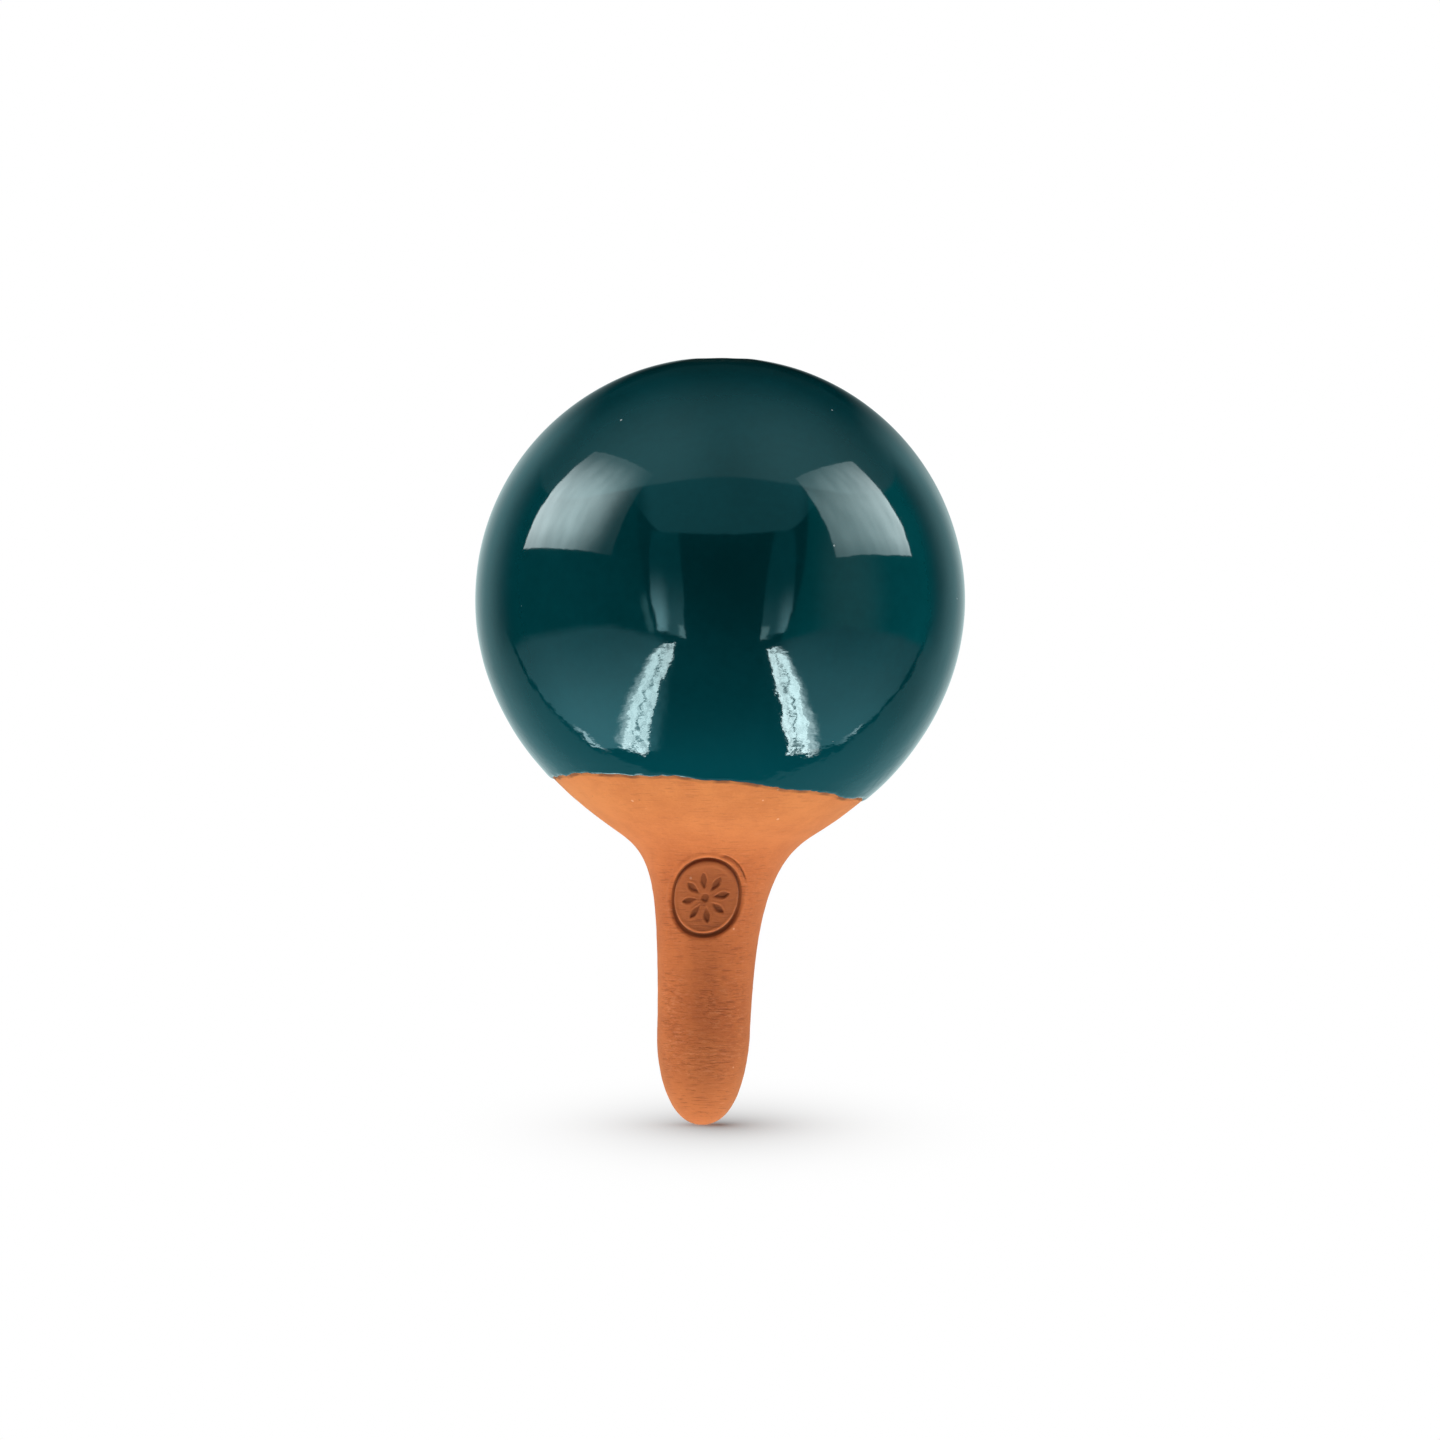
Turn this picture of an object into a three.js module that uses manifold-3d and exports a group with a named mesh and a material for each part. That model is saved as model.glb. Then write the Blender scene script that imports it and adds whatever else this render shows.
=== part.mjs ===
// Irrigation olla: a hollow glazed pottery bulb that holds water above a bare, porous spike.
// Millimetres, +Z up. The bulb's axis is the Z axis, the spike's tip stands on z = 0 and the
// potter's stamp faces -Y.
import * as THREE from 'three';
import { mergeVertices } from 'three/addons/utils/BufferGeometryUtils.js';
import Module from 'manifold-3d';

// Bulb, measured on the clay under the glaze
const BULB_DIAMETER = 113.7;
const EQUATOR_HEIGHT = 123.2;
const DOME_RISE = 56.4;
const WALL = 5;

// Filling mouth at the top of the bulb
const MOUTH_DIAMETER = 15;
const LIP_ROUND = 2;

// Shoulder, where the spike's collar is luted to the foot of the bulb
const SHOULDER_DIAMETER = 51;
const SHOULDER_HEIGHT = 70;
const SHOULDER_ANGLE = THREE.MathUtils.degToRad(55.2);
const SLIP_THICKNESS = 0.8;

// Spike
const SPIKE_DIAMETER = 21.8;
const TIP_LENGTH = 20.5;
const TIP_WALL = 7;

// How far each curve keeps its end direction, as a share of the height that it spans
const BOWL_PULL = { shoulder: 0.66, equator: 0.175 };
const SHAFT_PULL = { tip: 0.86, shoulder: 0.18 };
const TIP_PULL = { flat: 0.9, side: 0.12 };

// The spike leans to -X: the lean starts at the shoulder and dies away towards the tip
const LEAN = 4.45;
const LEAN_REACH = 24.8;
const LEAN_EASE = 1.5;

// Glaze, dipped with the bulb held head down and a little askew
const GLAZE_THICKNESS = 0.5;
const GLAZE_RETURN = 2.5;
const DIP_HEIGHT = 78.6;
const DIP_FALL_RIGHT = THREE.MathUtils.degToRad(4.9);
const DIP_FALL_BACK = THREE.MathUtils.degToRad(3.4);

// Stamp: one ring groove, pressed into the front of the spike and wrapped round it
const STAMP_HEIGHT = 53.3;
const STAMP_DIAMETER = 17.4;
const STAMP_DEPTH = 0.8;
const STAMP_TURN = THREE.MathUtils.degToRad(-5.5);

// Cork stopper, sunk a little below the lip
const CORK_LENGTH = 14;
const CORK_TAPER = THREE.MathUtils.degToRad(3);
const CORK_CHAMFER = 0.8;
const CORK_SUNK = 0.6;
const CORK_CLEARANCE = 0.25;

// Gap kept between pieces that are fired together
const SEAT_GAP = 0.15;

// Facets
const ROUND_SEGMENTS = 48;
const STAMP_SEGMENTS = { ring: 36, groove: 8 };

const bulbRadius = BULB_DIAMETER / 2;
const mouthRadius = MOUTH_DIAMETER / 2;
const lipStart = mouthRadius + LIP_ROUND;
const spikeRadius = SPIKE_DIAMETER / 2;
const seamHalf = SLIP_THICKNESS / 2 + SEAT_GAP;
const glazeInside = -SEAT_GAP;
const glazeOutside = -SEAT_GAP - GLAZE_THICKNESS;

const wasm = await Module();
wasm.setup();

// A point on the shoulder: inset into the wall, and slid up along the outline
function shoulderPoint(inset, slide) {
  const across = SHOULDER_DIAMETER / 2 - inset * Math.cos(SHOULDER_ANGLE) + slide * Math.sin(SHOULDER_ANGLE);
  const up = SHOULDER_HEIGHT + inset * Math.sin(SHOULDER_ANGLE) + slide * Math.cos(SHOULDER_ANGLE);
  return new THREE.Vector2(across, up);
}

// The next control point along the shoulder's own slope
function alongShoulder(point, distance) {
  const slope = new THREE.Vector2(Math.sin(SHOULDER_ANGLE), Math.cos(SHOULDER_ANGLE));
  return point.clone().addScaledVector(slope, distance);
}

// Outline stretches, each parallel to the clay's skin and inset from it (a negative inset is outside)

function tipCurve(inset, bottom) {
  const radius = spikeRadius - inset;
  const rise = TIP_LENGTH - bottom;
  return new THREE.CubicBezierCurve(
    new THREE.Vector2(0, bottom),
    new THREE.Vector2(radius * TIP_PULL.flat, bottom),
    new THREE.Vector2(radius, TIP_LENGTH - rise * TIP_PULL.side),
    new THREE.Vector2(radius, TIP_LENGTH),
  );
}

function shaftCurve(inset) {
  const top = shoulderPoint(inset, -seamHalf);
  const radius = spikeRadius - inset;
  const rise = top.y - TIP_LENGTH;
  return new THREE.CubicBezierCurve(
    new THREE.Vector2(radius, TIP_LENGTH),
    new THREE.Vector2(radius, TIP_LENGTH + rise * SHAFT_PULL.tip),
    alongShoulder(top, -rise * SHAFT_PULL.shoulder),
    top,
  );
}

function bowlCurve(inset) {
  const foot = shoulderPoint(inset, seamHalf);
  const radius = bulbRadius - inset;
  const rise = EQUATOR_HEIGHT - foot.y;
  return new THREE.CubicBezierCurve(
    foot,
    alongShoulder(foot, rise * BOWL_PULL.shoulder),
    new THREE.Vector2(radius, EQUATOR_HEIGHT - rise * BOWL_PULL.equator),
    new THREE.Vector2(radius, EQUATOR_HEIGHT),
  );
}

function domeCurve(inset, endRadius) {
  const radius = bulbRadius - inset;
  const rise = DOME_RISE - inset;
  const endAngle = Math.acos(endRadius / radius);
  return new THREE.EllipseCurve(0, EQUATOR_HEIGHT, radius, rise, 0, endAngle);
}

// The lip rolls from the dome's end into the straight throat of the mouth
function lipCurve(inset) {
  const dome = domeCurve(inset, lipStart);
  const start = dome.getPoint(1);
  const slope = dome.getTangent(1);
  const throat = mouthRadius + inset;
  const reach = start.x - throat;
  const corner = new THREE.Vector2(throat, start.y - reach * (slope.y / slope.x));
  return new THREE.QuadraticBezierCurve(start, corner, new THREE.Vector2(throat, corner.y - reach));
}

// Joins stretches into one run of points, leaving out the point that two stretches share
function chain(...stretches) {
  const points = [];
  for (const stretch of stretches) {
    for (const point of stretch) {
      const last = points[points.length - 1];
      if (!last || last.distanceTo(point) > 1e-6) points.push(point);
    }
  }
  return points;
}

// Turns a section about the Z axis
function turned(points) {
  const geometry = new THREE.LatheGeometry(points, ROUND_SEGMENTS);
  geometry.rotateX(Math.PI / 2);
  return geometry;
}

// Closes a section that does not meet the axis
function ring(points) {
  return turned([...points, points[0].clone()]);
}

// Solids for cutting

function toSolid(geometry) {
  const bare = geometry.clone();
  bare.deleteAttribute('normal');
  bare.deleteAttribute('uv');
  const merged = mergeVertices(bare);
  const corners = Array.from(merged.index.array);
  const triVerts = [];
  for (let i = 0; i < corners.length; i += 3) {
    const [a, b, c] = corners.slice(i, i + 3);
    if (a !== b && b !== c && c !== a) triVerts.push(a, b, c);
  }
  return new wasm.Manifold(new wasm.Mesh({
    numProp: 3,
    vertProperties: new Float32Array(merged.attributes.position.array),
    triVerts: new Uint32Array(triVerts),
  }));
}

function toGeometry(solid) {
  const mesh = solid.getMesh();
  const geometry = new THREE.BufferGeometry();
  geometry.setAttribute('position', new THREE.BufferAttribute(mesh.vertProperties, 3));
  geometry.setIndex(new THREE.BufferAttribute(mesh.triVerts, 1));
  return geometry;
}

function cut(geometry, cutter) {
  return toGeometry(toSolid(geometry).subtract(toSolid(cutter)));
}

// Sideways place of the centre line at a height
function leanAt(height) {
  const below = LEAN_EASE * Math.log1p(Math.exp((SHOULDER_HEIGHT - height) / LEAN_EASE));
  return -LEAN * (1 - Math.exp(-below / LEAN_REACH));
}

function leaned(geometry) {
  const position = geometry.attributes.position;
  for (let i = 0; i < position.count; i += 1) {
    position.setX(i, position.getX(i) + leanAt(position.getZ(i)));
  }
  geometry.computeVertexNormals();
  return geometry;
}

function reservoirBulb() {
  const inner = [...bowlCurve(WALL).getPoints(6), ...domeCurve(WALL, mouthRadius).getPoints(8)];
  return ring(chain(
    bowlCurve(0).getPoints(8),
    domeCurve(0, lipStart).getPoints(10),
    lipCurve(0).getPoints(3),
    inner.reverse(),
  ));
}

function porousSpike() {
  const inner = [...tipCurve(WALL, TIP_WALL).getPoints(4), ...shaftCurve(WALL).getPoints(8)];
  const body = turned(chain(
    tipCurve(0, 0).getPoints(6),
    shaftCurve(0).getPoints(12),
    inner.reverse(),
  ));
  return cut(body, stampGroove());
}

// A ring laid flat, then wrapped round the spike's skin
function stampGroove() {
  const { ring: around, groove: across } = STAMP_SEGMENTS;
  const geometry = new THREE.TorusGeometry(STAMP_DIAMETER / 2, STAMP_DEPTH, across, around);
  const position = geometry.attributes.position;
  for (let i = 0; i < position.count; i += 1) {
    const height = STAMP_HEIGHT + position.getY(i);
    const skin = skinRadius(height);
    const turn = STAMP_TURN + position.getX(i) / skin;
    const radius = skin + position.getZ(i);
    position.setXYZ(i, radius * Math.sin(turn), -radius * Math.cos(turn), height);
  }
  return geometry;
}

// Radius of the spike's skin at a height on its shaft
function skinRadius(height) {
  const shaft = shaftCurve(0);
  let low = 0;
  let high = 1;
  for (let step = 0; step < 30; step += 1) {
    const middle = (low + high) / 2;
    if (shaft.getPoint(middle).y < height) low = middle;
    else high = middle;
  }
  return shaft.getPoint(low).x;
}

function lutingSlip() {
  const half = SLIP_THICKNESS / 2;
  return ring([
    shoulderPoint(0, -half),
    shoulderPoint(0, half),
    shoulderPoint(WALL, half),
    shoulderPoint(WALL, -half),
  ]);
}

// Where the glaze stops inside the mouth
function glazeEnd(inset) {
  const throatTop = lipCurve(0).getPoint(1).y;
  return new THREE.Vector2(mouthRadius + inset, throatTop - GLAZE_RETURN);
}

function glazeSkin(inset) {
  return [
    ...bowlCurve(inset).getPoints(8),
    ...domeCurve(inset, lipStart).getPoints(10),
    ...lipCurve(inset).getPoints(3),
    glazeEnd(inset),
  ];
}

function glazeCoat() {
  const coat = ring(chain(glazeSkin(glazeOutside), glazeSkin(glazeInside).reverse()));
  return cut(coat, belowDipLine());
}

function belowDipLine() {
  const width = 2 * BULB_DIAMETER;
  const geometry = new THREE.BoxGeometry(width, width, EQUATOR_HEIGHT);
  geometry.translate(0, 0, -EQUATOR_HEIGHT / 2);
  geometry.rotateX(-DIP_FALL_BACK);
  geometry.rotateY(DIP_FALL_RIGHT);
  geometry.translate(0, 0, DIP_HEIGHT);
  return geometry;
}

function corkStopper() {
  const lip = lipCurve(glazeOutside);
  const crest = Math.max(...lip.getPoints(20).map((point) => point.y));
  const throatTop = lip.getPoint(1);
  const top = crest - CORK_SUNK;
  const bottom = top - CORK_LENGTH;
  const radiusAt = (height) => (
    throatTop.x - CORK_CLEARANCE + (height - throatTop.y) * Math.tan(CORK_TAPER)
  );
  return turned([
    new THREE.Vector2(0, bottom),
    new THREE.Vector2(radiusAt(bottom) - CORK_CHAMFER, bottom),
    new THREE.Vector2(radiusAt(bottom + CORK_CHAMFER), bottom + CORK_CHAMFER),
    new THREE.Vector2(radiusAt(top - CORK_CHAMFER), top - CORK_CHAMFER),
    new THREE.Vector2(radiusAt(top) - CORK_CHAMFER, top),
    new THREE.Vector2(0, top),
  ]);
}

function piece(name, geometry, color, roughness) {
  const material = new THREE.MeshStandardMaterial({ color, roughness, metalness: 0 });
  const mesh = new THREE.Mesh(leaned(geometry), material);
  mesh.name = name;
  return mesh;
}

const olla = new THREE.Group();
olla.add(
  piece('reservoir_bulb', reservoirBulb(), 0xd98850, 0.9),
  piece('porous_spike', porousSpike(), 0xc87d4b, 0.9),
  piece('luting_slip', lutingSlip(), 0xdb8c55, 0.95),
  piece('glaze_coat', glazeCoat(), 0x04464c, 0.06),
  piece('cork_stopper', corkStopper(), 0xb98d5c, 0.85),
);

export default olla;
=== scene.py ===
# Irrigation olla: the looks of a glazed pottery bulb on a bare terracotta spike.
# Outlines are worked out in millimetres, in the frame's own axes, and made in metres.
import math

import bpy
import numpy as np
from mathutils import Matrix, Vector


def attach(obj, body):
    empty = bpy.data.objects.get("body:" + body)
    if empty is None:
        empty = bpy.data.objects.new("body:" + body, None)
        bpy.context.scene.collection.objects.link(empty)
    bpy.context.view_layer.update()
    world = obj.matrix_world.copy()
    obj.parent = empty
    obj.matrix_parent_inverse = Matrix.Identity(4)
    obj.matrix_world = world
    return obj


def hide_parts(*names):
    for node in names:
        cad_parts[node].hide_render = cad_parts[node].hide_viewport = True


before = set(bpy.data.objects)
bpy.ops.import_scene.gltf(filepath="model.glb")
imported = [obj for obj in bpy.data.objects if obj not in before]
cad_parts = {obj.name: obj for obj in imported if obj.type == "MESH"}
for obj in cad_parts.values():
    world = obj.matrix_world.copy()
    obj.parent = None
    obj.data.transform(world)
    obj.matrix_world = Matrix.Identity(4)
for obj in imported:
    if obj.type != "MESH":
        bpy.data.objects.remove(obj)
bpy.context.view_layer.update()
scene = bpy.context.scene

MM = 0.001

# Bulb, measured on the clay under the glaze
BULB_RADIUS = 56.85
EQUATOR_HEIGHT = 123.2
DOME_RISE = 56.4
WALL = 5.0
MOUTH_RADIUS = 7.5
LIP_ROUND = 2.0

# Shoulder, where the spike's collar is luted to the bulb's foot
SHOULDER_RADIUS = 25.5
SHOULDER_HEIGHT = 70.0
SHOULDER_ANGLE = math.radians(55.2)
SEAM_HALF = 0.4

# Spike
SPIKE_RADIUS = 10.9
TIP_LENGTH = 20.5
TIP_WALL = 7.0

# How far each curve keeps its end direction, as a share of the height that it spans
BOWL_PULL = {"shoulder": 0.66, "equator": 0.175}
SHAFT_PULL = {"tip": 0.86, "shoulder": 0.18}
TIP_PULL = {"flat": 0.9, "side": 0.12}

# The spike leans to -X: the lean starts at the shoulder and dies away towards the tip
LEAN = 4.45
LEAN_REACH = 24.8
LEAN_EASE = 1.5

# Glaze: its outer skin over the clay, and the askew dip line that it ends at
GLAZE_STAND = 0.64
GLAZE_EDGE = 0.5
GLAZE_RETURN = 2.5
GLAZE_BEAD = 1.3
DIP_HEIGHT = 78.6
DIP_FALL_RIGHT = math.radians(4.9)
DIP_FALL_BACK = math.radians(3.4)

# Small runs of the dip line: place (degrees from the front), drop, softness (degrees)
DIP_STEPS = (
    (-57, -0.5, 4), (-21, -0.5, 3), (-9, 0.1, 0.9),
    (18, 0.08, 2), (51, 0.35, 1.5), (64, -0.8, 5),
    (118, 0.5, 5), (171, -0.6, 4), (-131, 0.5, 3),
)

# Thickness of the glaze: where it fills out, its waves, and where it is thinner
GLAZE_FILLS_OUT = 9.0
SWELL_DEPTH = 0.11
SWELL_BELOW = (95, 135)
LIP_THINNER = 0.05
LIP_THINS = (176, 178.5)
THROAT_RUN_OUT = 0.8
THROAT_THIN = 0.02
THROAT_BARE = 1.0
UNDER_GAP = 0.01

# How far up the clay's relief shows through, and how deep the glaze's edge is bedded
CLAY_SHOWS = (0.5, 7)
EDGE_BEDDED = 0.08

# Painted shadow in the clay below the dip line, under the glaze's edge: where it ends, and its least
# strength
EDGE_SHADOW_ENDS = (0.65, 1.1)
EDGE_SHADOW_LEAST = 0.35

# Stamp, pressed into the front of the spike: a ring round an eight-petalled rosette
STAMP_HEIGHT = 53.7
STAMP_RADIUS = 8.7
STAMP_STRETCH = 1.03
STAMP_TURN = math.radians(-5.5)
STAMP_DEPTH = 0.7
GROOVE_DEPTH = 0.85
GROOVE_HALF = 0.47
GROOVE_UNEVEN = 0.09
FIELD_DEPTH = 0.22
FIELD_CROWN = 0.1
RIM_RISE = 0.16
PUSHED_RISE = 0.3
PUSHED_TOWARDS = math.radians(85)
SECOND_DEPTH = 0.6
SECOND_SHIFT = (1.0, 0.75)
SECOND_TOWARDS = math.radians(48)
PETALS = 8
PETAL_TURN = math.radians(9)
PETAL_SPAN = (1.6, 5.9)
PETAL_HALF = 0.85
PETAL_DEPTH = 0.4
BRIM_RISE = 0.09

# Relief of the bare clay: its depths, and the heights where it starts and ends
WOBBLE_DEPTH = 0.07
RIDGE_DEPTH = 0.01
MARK_DEPTH = 0.06
MARK_RISE = 0.03
RELIEF_STARTS = (0.0, 6.0)
RELIEF_ENDS = (86, 92)

# Noise: seed, number of waves, turns round the axis, and lengths up the height
WOBBLE = (11, 14, (-3, 3), (24, 70))
RIDGES = (12, 18, (-3, 3), (2.5, 7))
DRAG_MARKS = (13, 70, (-22, 22), (0.8, 1.9))
MARK_PATCHES = (14, 16, (-7, 7), (6, 22))
EDGE_SHADOW_BREAKS = (24, 16, (5, 40), (50, 80))
GLAZE_SWELL = (31, 26, (-9, 9), (22, 90))
GLAZE_RIPPLE = (32, 40, (-30, 30), (7, 20))
CORK_CHANNELS = (41, 50, (-16, 16), (1.6, 5))
CORK_SPECKLE = (42, 60, (-30, 30), (0.8, 2.4))

# Unevenness of the dip line: depth and noise
DIP_UNEVEN = (
    (0.08, (21, 12, (3, 16), (50, 80))),
    (0.06, (22, 24, (18, 70), (50, 80))),
    (0.03, (23, 30, (70, 150), (50, 80))),
)

# Pits and specks in the clay: seed, number, heights, half widths and depths
CLAY_PITS = (16, 60, (2, 84), (0.2, 0.36), (0.04, 0.12))
CLAY_SPECKS = (17, 60, (2, 84), (0.2, 0.42), (-0.08, -0.02))

# Cork, sunk a little below the lip
CORK_LENGTH = 14.0
CORK_TAPER = math.radians(3)
CORK_CHAMFER = 0.8
CORK_SUNK = 0.6
CORK_CLEARANCE = 0.25
CHANNEL_DEPTH = 0.16
SPECKLE_DEPTH = 0.05

# Points along each stretch of an outline: many on the skins, few on the walls inside
SKIN_STEPS = {"tip": 400, "shaft": 1200, "bowl": 1200, "dome": 1200, "lip": 200}
WALL_STEPS = {"tip": 24, "shaft": 48, "bowl": 30, "dome": 40, "lip": 60}
SLOPE_STEPS = 400

# Mesh of the clay: columns, close over the stamp, reach of its bands, and gaps of their rows
FRONT_HALF = math.radians(52)
FRONT_COLUMNS = 112
REST_COLUMNS = 168
TIP_REACH = 26.0
STAMP_REACH = 30.5
BARE_REACH = 24.0
ROW_GAP = {"tip": 0.45, "shank": 0.32, "stamp": 0.22, "bare": 0.22, "covered": 2.4}
SEAM_ROWS = 5

# Mesh of the glaze: its rows near the edge take up a share of its length
GLAZE_COLUMNS = 420
BEAD_ROWS = 12
EDGE_SHARE = 0.08
EDGE_ROWS = 26
BODY_ROWS = 150
UNDER_ROWS = 45

# Mesh of the cork
CORK_COLUMNS = 120
CORK_ROWS = {"under": 20, "edge": 8, "side": 48, "over": 24}

# Edges sharper than this stay sharp
CREASE = math.radians(50)

# Colours of the clay, among them painted shade and highlights for its marks, chips, pinholes, stamp
# grooves and the glaze's edge
CLAY = {
    "deep": ((0.52, 0.131, 0.033, 1), (0.63, 0.176, 0.047, 1)),
    "pale": ((0.6, 0.184, 0.047, 1), (0.7, 0.237, 0.065, 1)),
    "tip": (0.54, 0.164, 0.046, 1),
    # Painted shade and highlights of the drag marks
    "dragged_shade": (0.29, 0.066, 0.018, 1),
    "raised_highlight": (0.8, 0.32, 0.14, 1),
    # Painted shade in the hollows, and painted highlights on the flakes
    "hollow": (0.31, 0.07, 0.019, 1),
    "flake_highlight": (0.76, 0.29, 0.12, 1),
    "grog": (0.8, 0.46, 0.26, 1),
    # Painted shade inside the pinholes
    "hole_shade": (0.2, 0.055, 0.018, 1),
    "stamped": (0.3, 0.078, 0.019, 1),
    # Painted shadow under the glaze's edge
    "edge_shadow": (0.1, 0.03, 0.012, 1),
    # Darker pressed clay and painted shade in the stamp's grooves, by their depth
    "pressed": (0.215, 0.049, 0.009, 1),
}

# Colours of the glaze and the cork
GLAZE = {
    "body": ((0.0003, 0.031, 0.037, 1), (0.0008, 0.043, 0.052, 1)),
    # Painted shade darkening the top, and painted light brightening the glaze towards the foot
    "top_shade": (0.002, 0.016, 0.016, 1),
    "run": (0.0008, 0.062, 0.077, 1),
    # Painted glints in the pinholes
    "pinhole_glint": (0.36, 0.42, 0.42, 1),
    "thin": (0.05, 0.075, 0.06, 1),
}
CORK = {
    "body": ((0.36, 0.2, 0.088, 1), (0.62, 0.42, 0.225, 1)),
    "fleck": (0.16, 0.075, 0.03, 1),
    "pit": (0.11, 0.05, 0.022, 1),
}

# Camera: level, straight at the front
CAMERA_DISTANCE = 1.3
CAMERA_HEIGHT = 0.095
FRAME_WIDTH = 0.338
SENSOR = 36.0

# Even light on matt surfaces
AMBIENT = 0.14

# Radiance of the studio that the glaze mirrors
STUDIO = {
    "card": (2.4, 2.8, 2.8, 1),
    "blobs": (1.6, 2.0, 2.0, 1),
    "backdrop": (0.3, 0.53, 0.56, 1),
    "glare": (0.32, 0.27, 0.25, 1),
    "ceiling": (0.52, 0.98, 1.04, 1),
    "valance": (0.16, 0.55, 0.62, 1),
    "posts": (0.02, 0.26, 0.3, 1),
    "feet": (2.9, 4.2, 4.5, 1),
    "streak": (0.5, 0.95, 1.0, 1),
    "wings": (0.78, 1.62, 1.82, 1),
    "flanks": (0.0, 0.32, 0.34, 1),
    "patch": (0.24, 0.25, 0.24, 1),
    "rail": (4.4, 5.0, 5.2, 1),
}

# Softboxes, in metres: outer and inner end in plan, radiance, and how they dim towards the inner edge
# and the top (share of the way where it starts and ends, and what is left of the light at both)
SOFTBOXES = (
    ((-1.05, 0.33), (-0.67, -0.6), 8.2, (0.52, 0.93, 1.0, 0.05), (0.22, 0.97, 1.0, 0.1)),
    ((1.205, 0.28), (0.78, -0.6), 7.8, (-0.1, 1.15, 1.0, 0.3), (0.3, 1.1, 1.0, 0.2)),
)

# Their span above the bulb's middle, and how far their inner edge and its dimming lean
SOFTBOX_FOOT = 0.28
SOFTBOX_TOP = 1.28
SOFTBOX_SLANT = 0.06
DIM_LEAN = 0.2

# Strips of light below the bulb, in metres: near and far end in plan, radiance, slant of the near end
STRIPS = (
    ((-0.334, 0.029), (-0.625, -1.4), 15.0, 0.0),
    ((0.303, -0.033), (0.612, -1.272), 19.5, 0.12),
)
STRIP_DEPTH = 0.6
STRIP_WIDTH = 0.375

# The length that counts as 1 across a strip's pattern
STRIP_UNIT = 0.3

# Fills for the matt clay: side and radiance, place (on the right) and size
FILLS = ((-1, 1.5), (1, 2.7))
FILL_PLACE = (0.9, 0.1, 0.04)
FILL_SIZE = (0.5, 0.5)

# Lamps that the glaze doesn't mirror: place, facing, up, size, radiance
HIDDEN_LAMPS = {
    "under": ((-0.06, -0.3, -0.74), (0.06, 0.3, 0.82), (0, 1, 0), (0.7, 0.5), 8.0),
    "overhead": ((0, -0.1, 1.4), (0, 0, -1), (0, 1, 0), (0.7, 1.1), 0.8),
}

# Floor: a grey disc, lifted towards white where nothing is close by a glow that dims near the object as a
# painted contact shadow (reach in metres)
FLOOR_RINGS = (0.0, 30, 60, 100, 150, 210, 280, 340)
FLOOR_COLUMNS = 96
FLOOR_GREY = (0.3, 0.3, 0.3, 1)
FLOOR_LIFT = 0.44
CONTACT_REACH = 0.042
CONTACT_POWER = 1.5
CONTACT_SAMPLES = 16

# How far the painted shadow round the floor's middle reaches to the side and in depth, and how fast it
# fades
SHADOW_REACH = (84.0, 235.0)
SHADOW_POWER = 3.7


# Curves

def bezier(points, steps):
    """Points along a Bezier curve of any degree."""
    share = np.linspace(0, 1, steps)[:, None]
    level = [np.asarray(point, float)[None, :] for point in points]
    while len(level) > 1:
        level = [a + (b - a) * share for a, b in zip(level, level[1:])]
    return level[0]


def shoulder_point(inset, slide):
    """A point on the shoulder: inset into the wall, and slid up along the outline."""
    sine, cosine = math.sin(SHOULDER_ANGLE), math.cos(SHOULDER_ANGLE)
    across = SHOULDER_RADIUS - inset * cosine + slide * sine
    return np.array([across, SHOULDER_HEIGHT + inset * sine + slide * cosine])


def along_shoulder(point, distance):
    slope = np.array([math.sin(SHOULDER_ANGLE), math.cos(SHOULDER_ANGLE)])
    return point + distance * slope


def tip_curve(inset, bottom, steps):
    radius = SPIKE_RADIUS - inset
    rise = TIP_LENGTH - bottom
    side = (radius, TIP_LENGTH - rise * TIP_PULL["side"])
    return bezier([(0, bottom), (radius * TIP_PULL["flat"], bottom), side, (radius, TIP_LENGTH)], steps)


def shaft_curve(inset, steps):
    top = shoulder_point(inset, -SEAM_HALF)
    radius = SPIKE_RADIUS - inset
    rise = top[1] - TIP_LENGTH
    low = (radius, TIP_LENGTH + rise * SHAFT_PULL["tip"])
    high = along_shoulder(top, -rise * SHAFT_PULL["shoulder"])
    return bezier([(radius, TIP_LENGTH), low, high, top], steps)


def bowl_curve(inset, steps):
    foot = shoulder_point(inset, SEAM_HALF)
    radius = BULB_RADIUS - inset
    rise = EQUATOR_HEIGHT - foot[1]
    low = along_shoulder(foot, rise * BOWL_PULL["shoulder"])
    high = (radius, EQUATOR_HEIGHT - rise * BOWL_PULL["equator"])
    return bezier([foot, low, high, (radius, EQUATOR_HEIGHT)], steps)


def dome_curve(inset, end_radius, steps):
    radius = BULB_RADIUS - inset
    angle = np.linspace(0, math.acos(end_radius / radius), steps)
    return np.stack([radius * np.cos(angle), EQUATOR_HEIGHT + (DOME_RISE - inset) * np.sin(angle)], 1)


def lip_curve(inset, steps):
    """The lip rolls from the dome's end into the straight throat of the mouth."""
    dome = dome_curve(inset, MOUTH_RADIUS + LIP_ROUND, SLOPE_STEPS)
    start, slope = dome[-1], dome[-1] - dome[-2]
    throat = MOUTH_RADIUS + inset
    reach = start[0] - throat
    corner = np.array([throat, start[1] - reach * slope[1] / slope[0]])
    return bezier([start, corner, (throat, corner[1] - reach)], steps)


def chain(*stretches):
    """Joins stretches into one run, leaving out the point that two stretches share."""
    points = np.concatenate(stretches)
    apart = np.linalg.norm(np.diff(points, axis=0), axis=1) > 1e-7
    return points[np.concatenate([[True], apart])]


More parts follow.
